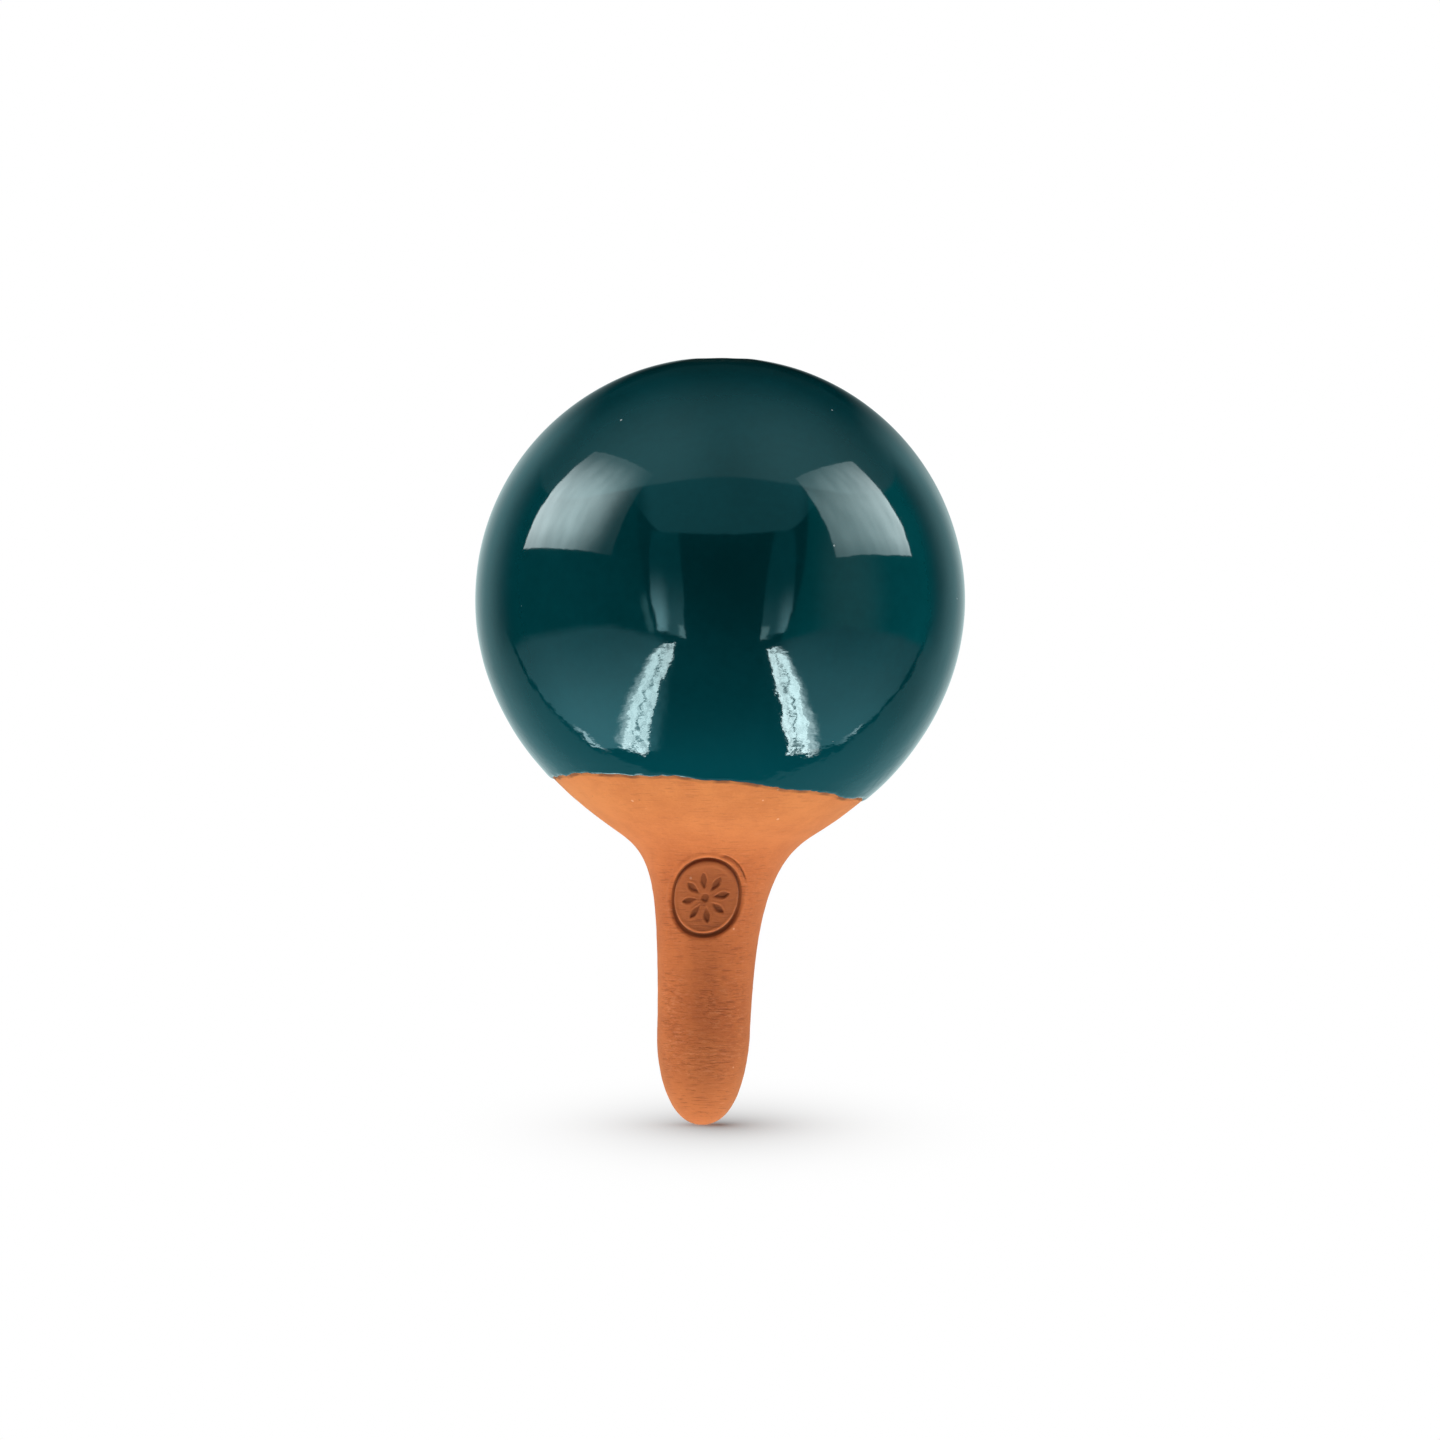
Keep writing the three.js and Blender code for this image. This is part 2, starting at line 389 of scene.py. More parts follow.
class Outline:
    """A section's outline as a function of the distance along it, with its outward normal."""

    def __init__(self, points):
        self.points = points
        steps = np.linalg.norm(np.diff(points, axis=0), axis=1)
        self.run = np.concatenate([[0], np.cumsum(steps)])
        self.length = self.run[-1]
        slope = np.gradient(points, self.run, axis=0)
        slope /= np.linalg.norm(slope, axis=1)[:, None]
        self.normals = np.stack([slope[:, 1], -slope[:, 0]], 1)

    def at(self, distance):
        return tuple(np.interp(distance, self.run, self.points[:, i]) for i in (0, 1))

    def normal(self, distance):
        across, up = (np.interp(distance, self.run, self.normals[:, i]) for i in (0, 1))
        size = np.hypot(across, up)
        return across / size, up / size


def clay_outline():
    """The bulb's clay from its foot over the lip into the throat."""
    bowl = bowl_curve(0, SKIN_STEPS["bowl"])
    dome = dome_curve(0, MOUTH_RADIUS + LIP_ROUND, SKIN_STEPS["dome"])
    lip = lip_curve(0, SKIN_STEPS["lip"])
    throat = np.array([[MOUTH_RADIUS, lip[-1, 1] - GLAZE_RETURN - THROAT_BARE]])
    return Outline(chain(bowl, dome, lip, throat))


def evenly(low, high, step):
    return np.linspace(low, high, max(2, int(round((high - low) / step)) + 1))


def smooth(value, low, high):
    share = np.clip((value - low) / (high - low), 0, 1)
    return share * share * (3 - 2 * share)


def ridge(distance, middle, half_width):
    """A rounded ridge of unit height."""
    return np.exp(-((distance - middle) / half_width) ** 2)


def turned_away(angle, place):
    """The angle from a place, within half a turn."""
    return (angle - place + math.pi) % (2 * math.pi) - math.pi


# Relief, in millimetres, as a function of the angle from the front and the height

def waves(seed, count, around, along, angle, height):
    """Even noise of unit size: sine waves, so many round the turn and of such lengths up the height."""
    rng = np.random.default_rng(seed)
    turns = rng.integers(around[0], around[1] + 1, count)
    rates = 2 * math.pi / rng.uniform(along[0], along[1], count) * rng.choice([-1, 1], count)
    phases = rng.uniform(0, 2 * math.pi, count)
    total = np.zeros(np.broadcast(angle, height).shape)
    for turn, rate, phase in zip(turns, rates, phases):
        total += np.sin(turn * angle + rate * height + phase)
    return total / math.sqrt(count / 2)


def dents(seed, count, levels, widths, depths, angle, height, radius):
    """Scattered round pits in the skin, or specks where the depth is negative."""
    rng = np.random.default_rng(seed)
    total = np.zeros(np.broadcast(angle, height).shape)
    for _ in range(count):
        turn, level = rng.uniform(-math.pi, math.pi), rng.uniform(*levels)
        wide, deep = rng.uniform(*widths), rng.uniform(*depths)
        stretch = rng.uniform(1.0, 2.2)
        distance = np.hypot(turned_away(angle, turn) * radius / stretch, height - level) / wide
        total -= deep * np.exp(-distance ** 2)
    return total


def clay_relief(angle, height, radius):
    """Hand wobble, turning ridges, short drag marks, pits and grog of the bare clay."""
    wobble = WOBBLE_DEPTH * waves(*WOBBLE, angle, height)
    ridges = RIDGE_DEPTH * waves(*RIDGES, angle, height)
    fine = waves(*DRAG_MARKS, angle, height)
    patches = smooth(waves(*MARK_PATCHES, angle, height), -0.2, 1.6)
    marks = -MARK_DEPTH * smooth(fine, 1.3, 2.6) * patches + MARK_RISE * smooth(-fine, 1.6, 2.8) * patches
    pits = dents(*CLAY_PITS, angle, height, radius)
    grog = dents(*CLAY_SPECKS, angle, height, radius)
    return wobble + ridges + marks + pits + grog


def stamp_relief(angle, height, radius):
    """The stamp: its relief, and where its field lies."""
    right = (angle - STAMP_TURN) * radius
    up = (height - STAMP_HEIGHT) / STAMP_STRETCH
    out = np.hypot(right, up)
    turn = np.arctan2(up, right)
    past = out - STAMP_RADIUS

    # The groove, its sunken field, and the clay raised on both sides
    half_groove = GROOVE_HALF - GROOVE_UNEVEN * np.sin(turn)
    groove = -GROOVE_DEPTH * np.exp(-np.abs(past / half_groove) ** 3)
    field = -FIELD_DEPTH * (1 - smooth(past, -0.75, 0.65)) + FIELD_CROWN * (1 - smooth(out, 0, 7.0))
    rim = RIM_RISE * ridge(past, -1.15, 0.4)
    pushed = PUSHED_RISE * ridge(past, 1.15, 0.5) * (0.55 + 0.45 * np.cos(turn - PUSHED_TOWARDS))

    # The second edge at the upper right, where the stamp was rocked
    rocked = np.hypot(right - SECOND_SHIFT[0], up - SECOND_SHIFT[1]) - STAMP_RADIUS
    beside = smooth(np.cos(turn - SECOND_TOWARDS), 0.86, 0.95)
    second = -SECOND_DEPTH * ridge(rocked, 0.45, 0.36) * beside

    # The petals round an eye, with the clay raised along their brims
    step = 2 * math.pi / PETALS
    away = (turn - PETAL_TURN + step / 2) % step - step / 2
    start, end = PETAL_SPAN
    share = np.clip((out - start) / (end - start), 0, 1)
    beyond = np.abs(out * np.sin(away)) - PETAL_HALF * np.sin(math.pi * share ** 1.35)
    petals = -PETAL_DEPTH * smooth(-beyond, 0.0, 0.3)
    eye = -PETAL_DEPTH * (1 - smooth(out, 0.7, 1.15))
    brims = BRIM_RISE * ridge(beyond, 0.28, 0.2) * smooth(out, 1.3, 1.9) * (1 - smooth(out, 5.6, 6.2))

    front = np.cos(angle - STAMP_TURN) > 0
    lower_half = smooth(-np.sin(turn), -0.2, 0.7)
    inside = np.where(front, 1 - smooth(past + 1.1 * lower_half, -0.2, 0.5), 0)
    return np.where(front, groove + field + rim + pushed + second + petals + eye + brims, 0), inside


def dip_line(outline, angle):
    """Distance along the outline at which the glaze ends, for each angle."""
    drop = np.zeros(angle.shape)
    for depth, noise in DIP_UNEVEN:
        drop += depth * waves(*noise, angle, 0)
    for place, fall, softness in DIP_STEPS:
        away = turned_away(angle, math.radians(place))
        drop += fall * (np.tanh(away / math.radians(softness)) - away / math.pi) / 2
    across, level = outline.points.T
    result = np.zeros(angle.shape)
    for i, turn in enumerate(angle):
        fall = math.tan(DIP_FALL_RIGHT) * math.sin(turn) - math.tan(DIP_FALL_BACK) * math.cos(turn)
        above = level - (DIP_HEIGHT - drop[i] - fall * across)
        low = int(np.argmax(above > 0))
        share = above[low] / (above[low] - above[low - 1])
        result[i] = outline.run[low] - share * (outline.run[low] - outline.run[low - 1])
    return result


# Meshes

def lean_at(height):
    below = LEAN_EASE * np.log1p(np.exp((SHOULDER_HEIGHT - height) / LEAN_EASE))
    return -LEAN * (1 - np.exp(-below / LEAN_REACH))


def placed(radius, height, angle):
    """Points in millimetres from radius, height and angle, with the spike's lean."""
    radius, height, angle = np.broadcast_arrays(radius, height, angle)
    return np.stack([radius * np.sin(angle) + lean_at(height), -radius * np.cos(angle), height], -1)


def plain_wall(points, angle):
    """A wall without relief: the points of an outline, turned round the axis."""
    return placed(points[:, :1], points[:, 1:], angle)


def new_object(name, points, corners):
    """An object from points in millimetres and the four corners of its faces, some of them merged."""
    quads = np.stack(corners, -1).reshape(-1, 4).tolist()
    faces = [list(dict.fromkeys(quad)) for quad in quads]
    mesh = bpy.data.meshes.new(name)
    mesh.from_pydata((points * MM).tolist(), [], faces)
    made = bpy.data.objects.new(name, mesh)
    scene.collection.objects.link(made)
    return made


def grid_object(name, grid, poles=False, values=None):
    """An object from rings of points: closed on itself, or between two poles, its first and last ring."""
    rings, columns, _ = grid.shape
    index = np.arange(rings * columns).reshape(rings, columns)
    keep = np.arange(rings * columns)
    if poles:
        index[0], index[-1] = index[0, 0], index[-1, 0]
        keep = np.unique(index)
        index = np.searchsorted(keep, index)
        lower, upper = index[:-1], index[1:]
    else:
        lower, upper = index, np.roll(index, -1, 0)
    corners = [lower, np.roll(lower, -1, 1), np.roll(upper, -1, 1), upper]
    piece = new_object(name, grid.reshape(-1, 3)[keep], corners)
    for key, array in (values or {}).items():
        layer = piece.data.attributes.new(key, "FLOAT", "POINT")
        layer.data.foreach_set("value", array.reshape(-1)[keep].astype(np.float32))
    piece.data.shade_smooth()
    piece.data.set_sharp_from_angle(angle=CREASE)
    piece.data.validate()
    return piece


def clay_columns():
    """Angles of the clay's columns: close together over the stamp, wider apart elsewhere."""
    front = np.linspace(-FRONT_HALF, FRONT_HALF, FRONT_COLUMNS, endpoint=False)
    rest = np.linspace(FRONT_HALF, 2 * math.pi - FRONT_HALF, REST_COLUMNS, endpoint=False)
    return (np.concatenate([front, rest]) + STAMP_TURN)[None, :]


def clay_skin(outline, distance, angle, stamped=False):
    """The bare clay's outer skin, with how deep the stamp is and where its field is."""
    radius, height = outline.at(distance)
    across, up = outline.normal(distance)
    relief = clay_relief(angle, height, radius)
    relief *= smooth(height, *RELIEF_STARTS) * (1 - smooth(height, *RELIEF_ENDS))
    stamp, field = np.zeros(relief.shape), np.zeros(relief.shape)
    if stamped:
        stamp, field = stamp_relief(angle, height, radius)
    total = relief + stamp
    skin = placed(radius + total * across, height + total * up, angle)
    return skin, np.clip(-stamp / STAMP_DEPTH, 0, 1), field


def spike_clay():
    angle = clay_columns()
    outer = Outline(chain(tip_curve(0, 0, SKIN_STEPS["tip"]), shaft_curve(0, SKIN_STEPS["shaft"])))
    stamp_start = outer.length - STAMP_REACH
    tip = evenly(0, TIP_REACH, ROW_GAP["tip"])
    shank = evenly(TIP_REACH, stamp_start, ROW_GAP["shank"])
    stamp = evenly(stamp_start, outer.length, ROW_GAP["stamp"])
    distance = np.concatenate([tip, shank[1:], stamp[1:]])[:, None]
    skin, pressed, field = clay_skin(outer, distance, angle, stamped=True)
    inner = chain(tip_curve(WALL, TIP_WALL, WALL_STEPS["tip"]), shaft_curve(WALL, WALL_STEPS["shaft"]))
    bore = plain_wall(inner[::-1], angle)
    plain = np.zeros(bore.shape[:2])
    values = {"pressed": np.concatenate([pressed, plain]), "stamped": np.concatenate([field, plain])}
    return grid_object("spike_clay", np.concatenate([skin, bore]), poles=True, values=values)


def slip_seam():
    """The ring of slip, wiped flush with the clay on both sides of it."""
    angle = clay_columns()
    slide = np.linspace(-SEAM_HALF, SEAM_HALF, SEAM_ROWS)
    outer = Outline(np.array([shoulder_point(0, step) for step in slide]))
    skin = clay_skin(outer, outer.run[:, None], angle)[0]
    inner = np.array([shoulder_point(WALL, step) for step in slide[::-1]])
    return grid_object("slip_seam", np.concatenate([skin, plain_wall(inner, angle)]))


def bulb_clay():
    angle = clay_columns()
    outer = clay_outline()
    bare = evenly(0, BARE_REACH, ROW_GAP["bare"])
    covered = evenly(BARE_REACH, outer.length, ROW_GAP["covered"])
    distance = np.concatenate([bare, covered[1:]])[:, None]
    skin = clay_skin(outer, distance, angle)[0]
    below = dip_line(outer, angle[0])[None, :] - distance
    inner = chain(bowl_curve(WALL, WALL_STEPS["bowl"]), dome_curve(WALL, MOUTH_RADIUS, WALL_STEPS["dome"]))
    hollow = plain_wall(inner[::-1], angle)
    # Painted shadow under the glaze's edge: darker clay just below the dip line, broken up by noise
    broken = EDGE_SHADOW_LEAST + (1 - EDGE_SHADOW_LEAST) * smooth(waves(*EDGE_SHADOW_BREAKS, angle, 0), -0.5, 0.8)
    edge_shadow_share = broken * (1 - smooth(below, *EDGE_SHADOW_ENDS))
    edge_shadow = np.concatenate([edge_shadow_share, np.zeros(hollow.shape[:2])])
    return grid_object("bulb_clay", np.concatenate([skin, hollow]), values={"edge_shadow": edge_shadow})


def glaze_skin():
    outline = clay_outline()
    angle = np.arange(GLAZE_COLUMNS) * 2 * math.pi / GLAZE_COLUMNS
    edge = dip_line(outline, angle)[None, :]
    end = outline.length - THROAT_BARE

    # The bead: a quarter round that rises from the clay to the glaze's full thickness
    bead_turn = np.linspace(0, math.pi / 2, BEAD_ROWS)[:, None]
    bead = edge + GLAZE_BEAD * (1 - np.cos(bead_turn))
    near_edge = np.linspace(0, EDGE_SHARE, EDGE_ROWS)[1:]
    share = np.concatenate([near_edge, np.linspace(EDGE_SHARE, 1, BODY_ROWS)[1:]])[:, None]
    body = edge + GLAZE_BEAD + (end - edge - GLAZE_BEAD) * share
    distance = np.concatenate([bead, body])
    radius, height = outline.at(distance)
    across, up = outline.normal(distance)

    # How far the outer skin stands over the clay
    stand = GLAZE_EDGE + (GLAZE_STAND - GLAZE_EDGE) * smooth(distance - edge, 0, GLAZE_FILLS_OUT)
    swell = 0.5 + 0.22 * waves(*GLAZE_SWELL, angle, height)
    low_part = 1 - smooth(height, *SWELL_BELOW)
    swell += 0.07 * waves(*GLAZE_RIPPLE, angle, height) * (0.12 + low_part)
    stand = stand - SWELL_DEPTH * np.clip(swell, 0, 1)
    stand[:len(bead)] *= np.sin(bead_turn)
    clay = clay_relief(angle, height, radius) * (1 - smooth(height, *RELIEF_ENDS))
    stand = stand + clay * (1 - smooth(distance - edge, *CLAY_SHOWS))
    stand[0] = clay[0] - EDGE_BEDDED
    rolled = smooth(distance, end - THROAT_RUN_OUT, end)
    stand = stand * (1 - rolled) + THROAT_THIN * rolled
    stand = stand - LIP_THINNER * smooth(height, *LIP_THINS)
    outer = placed(radius + stand * across, height + stand * up, angle)

    # The underside follows the clay just above its skin
    back = np.linspace(0, 1, UNDER_ROWS)[::-1, None][:-1]
    under = edge + (end - edge) * back
    radius, height = outline.at(under)
    across, up = outline.normal(under)
    inner = placed(radius + UNDER_GAP * across, height + UNDER_GAP * up, angle)
    return grid_object("glaze_skin", np.concatenate([outer, inner]))


def cork():
    """The stopper: a tapered plug with broken edges and the pits that run through natural cork."""
    lip = lip_curve(-GLAZE_STAND, WALL_STEPS["lip"])
    top = lip[:, 1].max() - CORK_SUNK
    bottom = top - CORK_LENGTH
    throat_top = lip[-1]

    def radius_at(height):
        return throat_top[0] - CORK_CLEARANCE + (height - throat_top[1]) * math.tan(CORK_TAPER)

    def edge(level, inwards):
        start = (radius_at(level) - CORK_CHAMFER, level)
        end = (radius_at(level + inwards * CORK_CHAMFER), level + inwards * CORK_CHAMFER)
        return bezier([start, (radius_at(level), level), end], CORK_ROWS["edge"])

    low, high = edge(bottom, 1), edge(top, -1)[::-1]
    side = np.linspace(low[-1], high[0], CORK_ROWS["side"])
    under = np.linspace((0, bottom), low[0], CORK_ROWS["under"])
    over = np.linspace(high[-1], (0, top), CORK_ROWS["over"])
    outline = Outline(chain(under, low, side, high, over))
    angle = np.linspace(0, 2 * math.pi, CORK_COLUMNS, endpoint=False)[None, :]
    distance = outline.run[:, None]
    radius, height = outline.at(distance)
    across, up = outline.normal(distance)

    # Channels and speckle run askew through the plug, and die away at the poles of the mesh
    flat = placed(radius, height, angle)
    channels = waves(*CORK_CHANNELS, angle, flat[..., 2] + 0.8 * flat[..., 0])
    speckle = waves(*CORK_SPECKLE, angle, flat[..., 2] + 1.1 * flat[..., 1])
    relief = -CHANNEL_DEPTH * smooth(channels, 1.2, 2.2) - SPECKLE_DEPTH * smooth(speckle, 0.8, 2.2)
    relief *= smooth(radius, 0.3, 1.6)
    grid = placed(radius + relief * across, height + relief * up, angle)
    values = {"pitted": np.clip(-relief / CHANNEL_DEPTH, 0, 1)}
    return grid_object("cork", grid, poles=True, values=values)


# Materials

class Nodes:
    """Adds nodes to one tree and links what they are given."""

    def __init__(self, tree):
        self.tree = tree
        tree.nodes.clear()

    def put(self, socket, value):
        if isinstance(value, bpy.types.NodeSocket):
            self.tree.links.new(value, socket)
        else:
            socket.default_value = value

    def add(self, kind, inputs=None, **settings):
        node = self.tree.nodes.new(kind)
        for name, value in settings.items():
            setattr(node, name, value)
        for name, value in (inputs or {}).items():
            self.put(node.inputs[name], value)
        return node

    def end(self, kind, shader):
        self.put(self.add(kind).inputs["Surface"], shader)

    def math(self, operation, first, second=0.0):
        return self.add("ShaderNodeMath", {0: first, 1: second}, operation=operation).outputs[0]

    def product(self, first, *others):
        for other in others:
            first = self.math("MULTIPLY", first, other)
        return first

    def total(self, first, *others):
        for other in others:
            first = self.math("ADD", first, other)
        return first

    def weighted(self, *terms):
        return self.total(*[self.product(value, weight) for value, weight in terms])

    def minus(self, first, second):
        return self.math("SUBTRACT", first, second)

    def absolute(self, value):
        return self.math("ABSOLUTE", value)

    def positive(self, value):
        return self.math("MAXIMUM", value, 0.0)

    def power(self, value, exponent):
        return self.math("POWER", value, exponent)

    def step(self, value, low, high, start=0.0, end=1.0):
        """A smooth step from start to end as the value goes from low to high."""
        inputs = {"Value": value, "From Min": low, "From Max": high, "To Min": start, "To Max": end}
        return self.add("ShaderNodeMapRange", inputs, interpolation_type="SMOOTHSTEP").outputs["Result"]

    def fade(self, value, low, high):
        """A smooth step from 1 down to 0."""
        return self.step(value, low, high, 1.0, 0.0)

    def mix(self, share, first, second):
        node = self.add("ShaderNodeMix", data_type="RGBA")
        self.put(node.inputs[0], share)
        self.put(node.inputs[6], first)
        self.put(node.inputs[7], second)
        return node.outputs[2]

    def layered(self, colour, *layers):
        """A colour under layers of others: for each its mask, its strength and its colour."""
        for mask, strength, over in layers:
            colour = self.mix(self.product(mask, strength), colour, over)
        return colour

    def apart(self, vector):
        return self.add("ShaderNodeSeparateXYZ", {"Vector": vector}).outputs

    def scaled(self, vector, scale):
        return self.add("ShaderNodeMapping", {"Vector": vector, "Scale": scale}).outputs[0]

    def place(self, stretch=(1, 1, 1)):
        """Object coordinates in millimetres, stretched."""
        where = self.add("ShaderNodeTexCoord").outputs["Object"]
        return self.scaled(where, [share / MM for share in stretch])

    def noise(self, where, scale, detail=2.0, roughness=0.5):
        inputs = {"Vector": where, "Scale": scale, "Detail": detail, "Roughness": roughness}
        return self.add("ShaderNodeTexNoise", inputs).outputs["Fac"]

    def specks(self, where, scale, low, high):
        """Scattered round specks: one in some of the cells of a Voronoi pattern, of mixed sizes."""
        cells = self.add("ShaderNodeTexVoronoi", {"Vector": where, "Scale": scale})
        chance = self.add("ShaderNodeSeparateColor", {"Color": cells.outputs["Color"]}).outputs[0]
        size = self.step(chance, low, 1.0, 0.0, high)
        return self.fade(self.minus(cells.outputs["Distance"], size), -0.03, 0.0)

    def attribute(self, name):
        return self.add("ShaderNodeAttribute", attribute_name=name).outputs["Fac"]

    def bump(self, height, strength, depth):
        """The normal of a finely uneven skin, its depth in millimetres."""
        inputs = {"Height": height, "Strength": strength, "Distance": depth * MM}
        return self.add("ShaderNodeBump", inputs).outputs[0]


def new_material(name):
    material = bpy.data.materials.new(name)
    material.use_nodes = True
    return material, Nodes(material.node_tree)


def finished(nodes, **inputs):
    """Ends a material with a Principled shader."""
    shader = nodes.add("ShaderNodeBsdfPrincipled", inputs)
    nodes.end("ShaderNodeOutputMaterial", shader.outputs[0])


def terracotta():
    """Bare fired clay: softly mottled orange with short drag marks, grog and pinholes; its marks, chips,
    pinholes, stamp grooves and the strip under the glaze's edge carry painted shade and highlights.
    """
    material, nodes = new_material("terracotta")
    step, noise, product = nodes.step, nodes.noise, nodes.product
    where = nodes.place()
    level = nodes.apart(where)["Z"]

    # Mottled body, paler on the shoulder and duller at the tip
    broad = noise(where, 0.05, 2)
    patches = noise(where, 0.22, 3, 0.55)
    grain = noise(where, 1.7, 3, 0.6)
    tone = step(nodes.weighted((broad, 0.6), (patches, 0.55), (grain, 0.3)), 0.5, 0.95)
    deep = nodes.mix(tone, *CLAY["deep"])
    pale = nodes.mix(tone, *CLAY["pale"])
    colour = nodes.mix(step(level, 58, 79), deep, pale)
    colour = nodes.mix(step(level, 4, 26, 0.6, 0.0), colour, CLAY["tip"])

    # Drag marks: level dashes in bunches, weaker on the shoulder and at the sides, painted darker and
    # lighter as the shade and highlights of their relief
    forward = nodes.absolute(nodes.apart(nodes.add("ShaderNodeTexCoord").outputs["Normal"])["Y"])
    bunches = product(
        step(noise(where, 0.12, 2), 0.3, 0.56, 0.35, 1.0),
        step(level, 48, 70, 1.0, 0.45),
        step(forward, 0.27, 0.7, 0.15, 1.0),
    )
    dashes = noise(nodes.place((0.28, 0.28, 3.0)), 1.0, 4, 0.6)
    dark = product(step(dashes, 0.54, 0.66), bunches)
    light = product(step(dashes, 0.42, 0.3), bunches)

    # Hollows and flakes on the lower half of the spike, the hollows painted darker as their shade and the
    # flakes painted lighter as their highlights
    chips = noise(nodes.place((0.5, 0.5, 1.7)), 1.0, 3, 0.6)
    lower = product(step(level, 8, 14), step(level, 28, 40, 1.0, 0.25), bunches)
    hollow_shade = product(step(chips, 0.54, 0.64), lower)
    flake_highlights = product(step(chips, 0.46, 0.36), lower)

    grog = nodes.specks(where, 0.3, 0.8, 0.12)
    # Pinholes, painted darker as the shade inside them
    pinhole_shade = nodes.specks(nodes.place((0.8, 0.8, 1.6)), 0.34, 0.78, 0.1)
    colour = nodes.layered(
        colour,
        # Painted shade and highlights of the drag marks
        (dark, 0.6, CLAY["dragged_shade"]),
        (light, 0.35, CLAY["raised_highlight"]),
        # Painted shade in the hollows, and painted highlights on the flakes
        (hollow_shade, 0.4, CLAY["hollow"]),
        (flake_highlights, 0.3, CLAY["flake_highlight"]),
        (grog, 0.7, CLAY["grog"]),
        # Painted shade inside the pinholes
        (pinhole_shade, 0.5, CLAY["hole_shade"]),
        (nodes.attribute("stamped"), 0.55, CLAY["stamped"]),
        # Painted shadow under the glaze's edge
        (nodes.attribute("edge_shadow"), 0.7, CLAY["edge_shadow"]),
        # Darker pressed clay and painted shade in the stamp's grooves, by their depth
        (step(nodes.attribute("pressed"), 0.3, 0.85), 0.85, CLAY["pressed"]),
    )
    height = nodes.weighted(
        (grain, 0.4), (dark, -0.5), (light, 0.3), (hollow_shade, -0.6),
        (flake_highlights, 0.5), (grog, 0.21), (pinhole_shade, -0.5),
    )
    finished(nodes, **{
        "Base Color": colour,
        "Roughness": nodes.total(product(patches, 0.14), 0.8),
        "Specular IOR Level": 0.25,
        "Sheen Weight": 0.16,
        "Sheen Tint": (1.0, 0.75, 0.5, 1),
        "Normal": nodes.bump(height, 0.55, 0.24),
    })
    return material


def teal_glaze():
    """Glossy dark teal glaze: painted shade darkens its top and painted light brightens it towards the
    foot, with fine waves, pinholes with painted glints, and a thin lip.
    """
    material, nodes = new_material("teal_glaze")
    step, noise, product = nodes.step, nodes.noise, nodes.product
    where = nodes.place()
    level = nodes.apart(where)["Z"]
    broad = noise(where, 0.04, 3)
    fine = noise(where, 0.5, 4, 0.6)
    tone = step(nodes.weighted((broad, 0.8), (fine, 0.3)), 0.35, 0.75)
    # Pinholes: dents in the glaze, with painted glints in them
    pinholes = nodes.specks(where, 0.31, 0.95, 0.1)
    lip = product(step(level, 177.6, 179.3), step(fine, 0.35, 0.65))
    colour = nodes.layered(
        nodes.mix(tone, *GLAZE["body"]),
        # Painted shade darkening the top, and painted light brightening the glaze towards the foot
        (step(level, 171, 178), 0.5, GLAZE["top_shade"]),
        (nodes.fade(level, 80, 108), 0.8, GLAZE["run"]),
        # Painted glints in the pinholes
        (pinholes, 1.0, GLAZE["pinhole_glint"]),
        (lip, 0.55, GLAZE["thin"]),
    )

    # Orange peel, strongest just above the dip line, and broad ripples
    lower = step(level, 92, 128, 1.0, 0.12)
    peel = noise(nodes.place((0.55, 0.55, 1)), 0.75, 2, 0.5)
    ripple = noise(where, 0.16, 2)
    height = nodes.total(
        product(peel, lower, 0.3),
        product(peel, step(level, 80, 94, 0.5, 0.0)),
        product(ripple, step(level, 100, 130, 0.7, 0.3)),
        product(pinholes, -0.3),
    )
    finished(nodes, **{
        "Base Color": colour,
        "Roughness": nodes.total(product(fine, 0.03), 0.03),
        "IOR": 1.5,
        "Specular Tint": (0.72, 0.98, 1.0, 1),
        "Normal": nodes.bump(height, 0.12, 0.6),
    })
    return material


def natural_cork():
    """Cork: tan cells with dark brown channels and specks."""
    material, nodes = new_material("natural_cork")
    where = nodes.place()
    cells = nodes.noise(where, 1.6, 5, 0.65)
    bands = nodes.noise(nodes.place((0.25, 0.25, 0.8)), 1.0, 3)
    tone = nodes.step(nodes.weighted((cells, 0.7), (bands, 0.6)), 0.4, 0.9)
    flecks = nodes.specks(nodes.place((1, 1, 0.55)), 0.85, 0.55, 0.2)
    colour = nodes.layered(
        nodes.mix(tone, *CORK["body"]),
        (flecks, 0.7, CORK["fleck"]),
        (nodes.step(nodes.attribute("pitted"), 0.15, 0.9), 0.8, CORK["pit"]),
    )
    finished(nodes, **{
        "Base Color": colour,
        "Roughness": nodes.total(nodes.product(cells, 0.15), 0.75),
        "Specular IOR Level": 0.3,
        "Normal": nodes.bump(nodes.weighted((cells, 0.6), (flecks, -0.5)), 0.5, 0.2),
    })
    return material


# Stage

def seen_rays(nodes):
    """Masks of the rays that show the background: from the camera, and in gloss or through glass."""
    path = nodes.add("ShaderNodeLightPath").outputs
    gloss = nodes.math("MAXIMUM", path["Is Glossy Ray"], path["Is Transmission Ray"])
    return path["Is Camera Ray"], gloss


